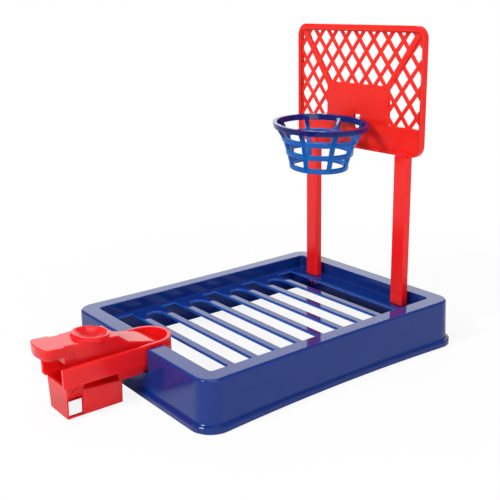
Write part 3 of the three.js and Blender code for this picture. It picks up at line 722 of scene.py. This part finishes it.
# %% [markdown]
# The launcher's housing is one moulding too. Seen from above, two rails run out from a half-round
# loop inside the tray. A thin deck lies between them. It is low outside the tray and steps up over
# the tray's floor, so its side view is pushed across and what it shares with the rails' outline
# stays.

# %% Rails
RAIL_HALF, RAIL_WALL, RAIL_TOP = 10.9, 1.8, TRAY_HEIGHT + 1.3
RAIL_BOTTOM = RAIL_TOP - 8.8
RAIL_END, LOOP = -TRAY_LENGTH / 2 - 38.6, 7 - TRAY_LENGTH / 2
DECK, DECK_INSET = 1.2, 0.8
DECK_BOTTOM = FLOOR_TOP + GAP
DECK_TOP = DECK_BOTTOM + DECK
BAND_END = -POCKET_Y - GAP
ACROSS = 12


def rail_outline(half, end):
    return [(-half, end), (half, end)] + arc(0, LOOP, half, 0, math.pi, 48)


past_loop = LOOP + RAIL_HALF + 2
between = rail_outline(RAIL_HALF - RAIL_WALL, RAIL_END - OVERRUN)
rails = cut(
    pushed(rail_outline(RAIL_HALF, RAIL_END), RAIL_BOTTOM, RAIL_TOP),
    pushed(between, RAIL_BOTTOM - OVERRUN, RAIL_TOP + OVERRUN),
    block(-ACROSS, ACROSS, BAND_END, past_loop, RAIL_BOTTOM - 2, DECK_BOTTOM),
)
deck_side = [
    (RAIL_END, RAIL_BOTTOM), (BAND_END, RAIL_BOTTOM), (BAND_END, DECK_BOTTOM),
    (past_loop, DECK_BOTTOM), (past_loop, DECK_TOP), (BAND_END - DECK, DECK_TOP),
    (BAND_END - DECK, RAIL_BOTTOM + DECK), (RAIL_END, RAIL_BOTTOM + DECK),
]
deck_plan = rail_outline(RAIL_HALF - DECK_INSET, RAIL_END)
deck = meet(
    pushed(deck_side, -ACROSS, ACROSS, "X"),
    pushed(deck_plan, RAIL_BOTTOM - OVERRUN, DECK_TOP + OVERRUN),
)
print("rails reach", round(-RAIL_END - TRAY_LENGTH / 2, 1), "mm out of the tray")

# %% [markdown]
# A box hangs below the outer end of the rails. It is open below and narrows on its way down, so it
# slips off its mould. Behind it, a band runs through the cut in the tray's wall.

# %% Box and band
BOX_FRONT, BOX_REAR, BOX_WALL, BOX_BOTTOM = RAIL_END + 1.6, RAIL_END + 27.6, 1.6, 0.5
BOX_HALF, BOX_TAPER, LAP = 8.1, 1.2, 0.6
BAND_HALF, BAND_INNER, BAND_DEEP, BAND_DEEP_END = 9.3, 7.7, 0.6, -75.2


def box_ring(height, inset, front, rear):
    raised = (height - BOX_BOTTOM) / (RAIL_BOTTOM - BOX_BOTTOM)
    half = BOX_HALF + BOX_TAPER * raised - inset
    corners = ((-half, front), (half, front), (half, rear), (-half, rear))
    return [(x, y, height) for x, y in corners]


def box_solid(low, high, inset, front, rear):
    return loft([box_ring(low, inset, front, rear), box_ring(high, inset, front, rear)])


front, rear = BOX_FRONT + BOX_WALL, BOX_REAR - BOX_WALL
well_half = BAND_HALF - BOX_WALL
rails = cut(
    join(rails, deck),
    block(-well_half, well_half, RAIL_END - OVERRUN, rear, 0, RAIL_TOP - 0.5),
)
box = cut(
    box_solid(BOX_BOTTOM, RAIL_BOTTOM + LAP, 0, BOX_FRONT, BOX_REAR),
    box_solid(BOX_BOTTOM - OVERRUN, RAIL_BOTTOM + OVERRUN, BOX_WALL, front, rear),
)
box = cut(
    box, block(-ACROSS, ACROSS, BOX_FRONT - OVERRUN, front, RAIL_BOTTOM - LAP, RAIL_TOP)
)
band = block(-BAND_HALF, BAND_HALF, rear, BAND_END, NOTCH_HEIGHT + GAP, RAIL_BOTTOM + LAP)
deeper = NOTCH_HEIGHT - BAND_DEEP
band = join(band, block(-BAND_HALF, BAND_HALF, rear, BAND_DEEP_END, deeper, RAIL_BOTTOM))
band_core = (BOX_REAR, BAND_END - BOX_WALL, NOTCH_HEIGHT - OVERRUN, RAIL_BOTTOM)
band = cut(band, block(-BAND_INNER, BAND_INNER, *band_core))
housing = join(rails, box, band)
print("box", round(BOX_REAR - BOX_FRONT, 1), "mm long and", 2 * BOX_HALF, "mm wide below")

# %% [markdown]
# Each side of the box has a small window, two shallow triangles above it and a long gap under the
# rail. The window, the gap and the holes for the lever's pivot go straight through, so one tool
# cuts both sides. The triangles don't reach the inside, and take a tool on each side.

# %% Launcher housing
PIVOT_Y, PIVOT_Z, PIVOT_HOLE = LOOP - 3, RAIL_TOP - 3.2, 1.8
OPEN_FRONT, OPEN_REAR, RECESS = 3.1, 4.2, 8.3

window_front, window_rear, window_low, window_top = BOX_FRONT + 0.8, BOX_FRONT + 7.2, 1.5, 10.1
open_start = window_rear + 0.7
long_gap = [
    (open_start, RAIL_BOTTOM - OPEN_FRONT), (rear, RAIL_BOTTOM - OPEN_REAR),
    (rear, RAIL_BOTTOM), (open_start, RAIL_BOTTOM),
]
pivot_hole = arc(PIVOT_Y, PIVOT_Z, PIVOT_HOLE, 0, 2 * math.pi, 40)[:-1]
holes = [
    block(-ACROSS, ACROSS, window_front, window_rear, window_low, window_top),
    pushed(long_gap, -ACROSS, ACROSS, "X"),
    pushed(pivot_hole, -ACROSS, ACROSS, "X"),
]
low, high = window_top + 0.7, RAIL_BOTTOM - 1.4
near = window_front + 0.4
for triangle in (
    [(near, low), (window_rear - 1.4, high), (near, high)],
    [(window_front + 1.8, low), (window_rear, low), (window_rear, high)],
):
    holes += [pushed(triangle, RECESS, ACROSS, "X"), pushed(triangle, -ACROSS, -RECESS, "X")]
housing = cut(housing, together(holes))
finished(housing, "launcher_housing", "game", launcher_red, edge=0.28)

# %% [markdown]
# A finger presses the lever's pad at the outer end, and the ball lies in the dish behind it. Seen
# from above, a slightly narrower neck joins the pad to the body, and the body ends in a round nose
# inside the rails' loop.

# %% Lever outline
LEVER_HALF, NECK_HALF, PAD_HALF, LEVER_WALL, LEVER_ROOF = 7.6, 7.0, 8.2, 1.5, 1.6
PAD_END, PAD_CORNER, PAD_BOW, PAD_PAST = RAIL_END - 5.9, 2.1, 1.0, 0.5
NECK_FRONT, NECK_REAR = PAD_END + 9, PAD_END + 13.3


def lever_outline(inset):
    body, neck, pad = LEVER_HALF - inset, NECK_HALF - inset, PAD_HALF - inset
    corner, end = PAD_CORNER - inset, PAD_END - PAD_PAST + inset
    points = arc(0, LOOP, body, 0, math.pi, 48)
    points += [(-body, NECK_REAR + inset), (-neck, NECK_REAR + inset), (-neck, NECK_FRONT)]
    points += [(-pad, NECK_FRONT - inset)]
    points += arc(corner - pad, end + PAD_BOW + corner, corner, math.pi, 3 * QUARTER, 10)
    for step in range(1, 20):
        across = step / 10 - 1
        points.append((across * (pad - corner), end + PAD_BOW * across * across))
    points += arc(pad - corner, end + PAD_BOW + corner, corner, 3 * QUARTER, 4 * QUARTER, 10)
    points += [(pad, NECK_FRONT - inset), (neck, NECK_FRONT)]
    points += [(neck, NECK_REAR + inset), (body, NECK_REAR + inset)]
    return points


print("pad ends", round(RAIL_END - PAD_END + PAD_PAST, 1), "mm past the rails")

# %% [markdown]
# Seen from the side, the top slopes from the pad to a ridge behind the dish, drops to a bench and
# ends in the low nose. The underside rises towards the pad by a little more than the lever turns,
# so it clears the deck.

# %% Lever side
DISH = PAD_END + 24.5
RIDGE, KNEE, BENCH = DISH + 9.2, DISH + 14.0, DISH + 26.4
PAD_TOP, RIDGE_TOP, KNEE_TOP = RAIL_TOP + 8.9, RAIL_TOP + 6.8, RAIL_TOP + 2.8
BENCH_TOP, NOSE_TOP = RAIL_TOP - 0.4, RAIL_TOP - 4.5
LEVER_BOTTOM = DECK_TOP + GAP
SLOPE = (PAD_TOP - RIDGE_TOP) / (PAD_END - RIDGE)
DISH_LEVEL = RIDGE_TOP + SLOPE * (DISH - RIDGE)
PAD_SKIRT, UNDERCUT, NOSE_EXTRA = 4.9, 8.5, 0.3

past_nose = LOOP + LEVER_HALF + NOSE_EXTRA
fall = (BENCH_TOP - NOSE_TOP) * NOSE_EXTRA / (past_nose - NOSE_EXTRA - BENCH)
under = LEVER_BOTTOM + (PIVOT_Y - NECK_FRONT) * math.tan(math.radians(UNDERCUT))
side = [
    (PAD_END - 1, PAD_TOP - SLOPE), (PAD_END - 1, PAD_TOP - PAD_SKIRT),
    (NECK_FRONT, PAD_TOP - PAD_SKIRT), (NECK_FRONT, under), (PIVOT_Y, LEVER_BOTTOM),
    (past_nose, LEVER_BOTTOM), (past_nose, NOSE_TOP - fall), (BENCH, BENCH_TOP),
    (KNEE, KNEE_TOP), (RIDGE, RIDGE_TOP),
]
print("lever", round(past_nose - NOSE_EXTRA - PAD_END + PAD_PAST, 1), "mm long")

# %% [markdown]
# The side view and the top view are pushed into solids, and what both share is the lever. A
# smaller pair makes the core, which leaves the lever hollow and light.

# %% Lever shell
SHELL_HALF, CORE_HALF = 10, 8.5


def roof(y):
    return RIDGE_TOP + SLOPE * (y - RIDGE) - LEVER_ROOF


shell = meet(
    pushed(side, -SHELL_HALF, SHELL_HALF, "X"),
    pushed(lever_outline(0), LEVER_BOTTOM - 1, PAD_TOP + 1),
)
low = LEVER_BOTTOM - 2
body_front, body_rear = NECK_FRONT + LEVER_WALL, PIVOT_Y - 3
pad_rear = NECK_FRONT - LEVER_WALL / 2
body_core = [
    (body_front, roof(body_front)), (body_front, low), (body_rear, low),
    (body_rear, BENCH_TOP - LEVER_ROOF), (KNEE, KNEE_TOP - LEVER_ROOF),
    (RIDGE, RIDGE_TOP - LEVER_ROOF),
]
pad_core = [
    (PAD_END, roof(PAD_END)), (PAD_END, low), (pad_rear, low), (pad_rear, roof(NECK_FRONT))
]
core = meet(
    together([pushed(view, -CORE_HALF, CORE_HALF, "X") for view in (body_core, pad_core)]),
    pushed(lever_outline(LEVER_WALL), LEVER_BOTTOM - 1, PAD_TOP),
)
lever = cut(shell, core)
print("lever shell", len(lever.data.vertices), "points")

# %% [markdown]
# The dish is turned like a bowl and set square to the lever's sloping top. Its rim stands up a
# little, which keeps the ball in place until the lever lets go. The bowl is cut last, so nothing
# of the lever's roof is left in it.

# %% Launch lever
DISH_RADIUS, DISH_RISE, DISH_DEPTH, DISH_SHELL, DISH_TILT = 8.3, 1.3, 3.2, 1.3, -6.4
STUB_RADIUS = 1.5
mouth = DISH_RADIUS - 1
ball = (mouth * mouth + DISH_DEPTH * DISH_DEPTH) / (2 * DISH_DEPTH)
low = DISH_RISE - DISH_DEPTH
bowl, outside = [(0.05, low)], [(0.05, low - DISH_SHELL)]
for step in range(1, 17):
    angle = math.asin(mouth / ball) * step / 16
    foot = angle * 0.7
    bowl.append((ball * math.sin(angle), low + ball * (1 - math.cos(angle))))
    outside.append((
        (ball + DISH_SHELL) * math.sin(foot),
        low - DISH_SHELL + (ball + DISH_SHELL) * (1 - math.cos(foot)),
    ))
outside += [(DISH_RADIUS, DISH_RISE - 2.4), (DISH_RADIUS, DISH_RISE)]
bowl += [(mouth, DISH_RISE + 1)]
turn = Matrix.Rotation(math.radians(DISH_TILT), 4, "X")
tilt = Matrix.Translation((0, DISH, DISH_LEVEL)) @ turn
stub_round = arc(PIVOT_Y, PIVOT_Z, STUB_RADIUS, 0, 2 * math.pi, 40)[:-1]
stub = pushed(stub_round, GAP - RAIL_HALF, RAIL_HALF - GAP, "X")
lever = join(lever, stub, placed(dome(outside), tilt))
lever = cut(lever, placed(dome(bowl), tilt))
finished(lever, "launch_lever", "lever", launcher_red, edge=0.45, steps=3)

# %% [markdown]
# The camera stands where the photograph was taken from. Its place and its lens were found by
# fitting the game's edges to the picture.

# %% Camera
AZIMUTH, ELEVATION, ROLL = 52.63, 16.85, -1.15
DISTANCE, FOCAL_PIXELS = 400.37 * MM, 843.49
TARGET = Vector((0, -8.18, 51.73)) * MM
PICTURE_WIDTH, SENSOR = 500, 36.0


def look_from(azimuth, elevation, roll, distance, target):
    a, e = math.radians(azimuth), math.radians(elevation)
    back = Vector((math.sin(a) * math.cos(e), -math.cos(a) * math.cos(e), math.sin(e)))
    turn = (-back).to_track_quat("-Z", "Y").to_matrix().to_4x4()
    spin = Matrix.Rotation(math.radians(roll), 4, "Z")
    return Matrix.Translation(target + back * distance) @ turn @ spin


camera_data = bpy.data.cameras.new("photo_camera")
camera_data.sensor_width = SENSOR
camera_data.lens = FOCAL_PIXELS * SENSOR / PICTURE_WIDTH
camera_data.clip_start, camera_data.clip_end = 0.01, 40
camera = bpy.data.objects.new("photo_camera", camera_data)
camera.matrix_world = look_from(AZIMUTH, ELEVATION, ROLL, DISTANCE, TARGET)
scene.collection.objects.link(camera)
scene.camera = camera
scene.view_settings.view_transform = "Standard"
print("camera at mm", [round(v * 1000, 1) for v in camera.location])
print("lens", round(camera_data.lens, 2), "mm")

# %% [markdown]
# Floor and room have to look plain white and still give the right light. The light path node tells
# which kind of ray has arrived, so they can be one thing for the camera, another for a mirror and
# a third for the light. Cutting the game out afterwards would lose its shadow.

# %% Kinds of rays
def seen_share(tree, by_eye, by_mirror):
    """How white a thing is for the eye, for a mirror or clear stuff, and 0 for the light."""
    path = node_of(tree, "ShaderNodeLightPath")
    bounced = math_of(
        tree, "MAXIMUM", path.outputs["Is Glossy Ray"], path.outputs["Is Transmission Ray"]
    )
    bounced = math_of(tree, "MULTIPLY", bounced, by_mirror)
    straight = math_of(tree, "MULTIPLY", path.outputs["Is Camera Ray"], by_eye)
    return math_of(tree, "MAXIMUM", bounced, straight)


print("a share of 1 is plain white, and a share of 0 is lit like the rest")

# %% [markdown]
# The floor is a wide pale plane. Light falls on it as on paper, and it throws light back up at the
# game's walls. The camera sees most of it as plain white, as in a picture made for a shop. A part
# of its own shading stays near the game, so the game keeps its soft shadow.

# %% Floor
SHADOW_KEPT, FADE_START, FADE_END = 0.12, 0.1, 0.3
FLOOR_HALF, FLOOR_DROP = 10.0, 0.0002

floor_material = bpy.data.materials.new("pale_floor")
floor_material.use_nodes = True
tree = floor_material.node_tree
tree.nodes.clear()
matt = node_of(tree, "ShaderNodeBsdfDiffuse", Color=(0.88, 0.88, 0.88, 1))
glow = node_of(tree, "ShaderNodeEmission", Color=(1, 1, 1, 1), Strength=1.0)
mixed = node_of(tree, "ShaderNodeMixShader")
out = node_of(tree, "ShaderNodeOutputMaterial")
place = node_of(tree, "ShaderNodeNewGeometry")
reach = node_of(tree, "ShaderNodeVectorMath", operation="LENGTH")
tree.links.new(place.outputs["Position"], reach.inputs[0])
fades = []
for near in (1 - SHADOW_KEPT, 0.0):
    fade = node_of(tree, "ShaderNodeMapRange", interpolation_type="SMOOTHSTEP")
    for name, value in (("From Min", FADE_START), ("From Max", FADE_END), ("To Min", near)):
        fade.inputs[name].default_value = value
    tree.links.new(reach.outputs["Value"], fade.inputs["Value"])
    fades.append(fade.outputs["Result"])
tree.links.new(seen_share(tree, *fades), mixed.inputs[0])
tree.links.new(matt.outputs[0], mixed.inputs[1])
tree.links.new(glow.outputs[0], mixed.inputs[2])
tree.links.new(mixed.outputs[0], out.inputs[0])

floor_mesh = bpy.data.meshes.new("floor")
floor_mesh.from_pydata(
    [(x * FLOOR_HALF, y * FLOOR_HALF, 0) for x, y in ((-1, -1), (1, -1), (1, 1), (-1, 1))],
    [],
    [(0, 1, 2, 3)],
)
floor_mesh.materials.append(floor_material)
floor = bpy.data.objects.new("floor", floor_mesh)
floor.location.z = -FLOOR_DROP
scene.collection.objects.link(floor)
print("floor is white from", FADE_END, "m out")

# %% [markdown]
# Around it all is a white studio. It gives the game a weak light from all sides, and its own white
# shows only where the camera looks past the floor.

# %% Surroundings
STUDIO_LIGHT, MIRROR_WHITE = 0.2, 0.25
world = bpy.data.worlds.new("studio")
scene.world = world
world.use_nodes = True
tree = world.node_tree
tree.nodes.clear()
soft = node_of(tree, "ShaderNodeBackground", Color=(1, 1, 1, 1), Strength=STUDIO_LIGHT)
white = node_of(tree, "ShaderNodeBackground", Color=(1, 1, 1, 1), Strength=1.0)
mixed = node_of(tree, "ShaderNodeMixShader")
out = node_of(tree, "ShaderNodeOutputWorld")
tree.links.new(seen_share(tree, 1.0, MIRROR_WHITE), mixed.inputs[0])
tree.links.new(soft.outputs[0], mixed.inputs[1])
tree.links.new(white.outputs[0], mixed.inputs[2])
tree.links.new(mixed.outputs[0], out.inputs[0])
print("studio light", STUDIO_LIGHT)

# %% [markdown]
# The light comes from a product studio. A key lamp in front of the launcher's end throws the
# basket's shadow on the board, a wide lamp hangs overhead and a third one fills the long side. A
# low softbox behind the game is there for its mirror image: it makes level faces shine.

# %% Lamps
AIM = Vector((0, 0, 0.02))


def lamp(name, azimuth, elevation, distance, width, height, power):
    data = bpy.data.lights.new(name, "AREA")
    data.shape, data.size, data.size_y, data.energy = "RECTANGLE", width, height, power
    made = bpy.data.objects.new(name, data)
    made.matrix_world = look_from(azimuth, elevation, 0, distance, AIM)
    made.visible_camera = False
    scene.collection.objects.link(made)
    print(name, "at mm", [round(v * 1000) for v in made.matrix_world.translation])


lamp("key", 0, 44, 1.3, 0.35, 0.35, 10.0)
lamp("top", 60, 80, 1.4, 1.0, 1.0, 7.8)
lamp("side", 76, 16, 1.3, 0.8, 0.5, 5.5)
lamp("back", AZIMUTH + 180, 17, 1.3, 1.5, 0.75, 5.5)

# %% [markdown]
# Last, the scene is brought up to date.

# %% Finish
bpy.context.view_layer.update()
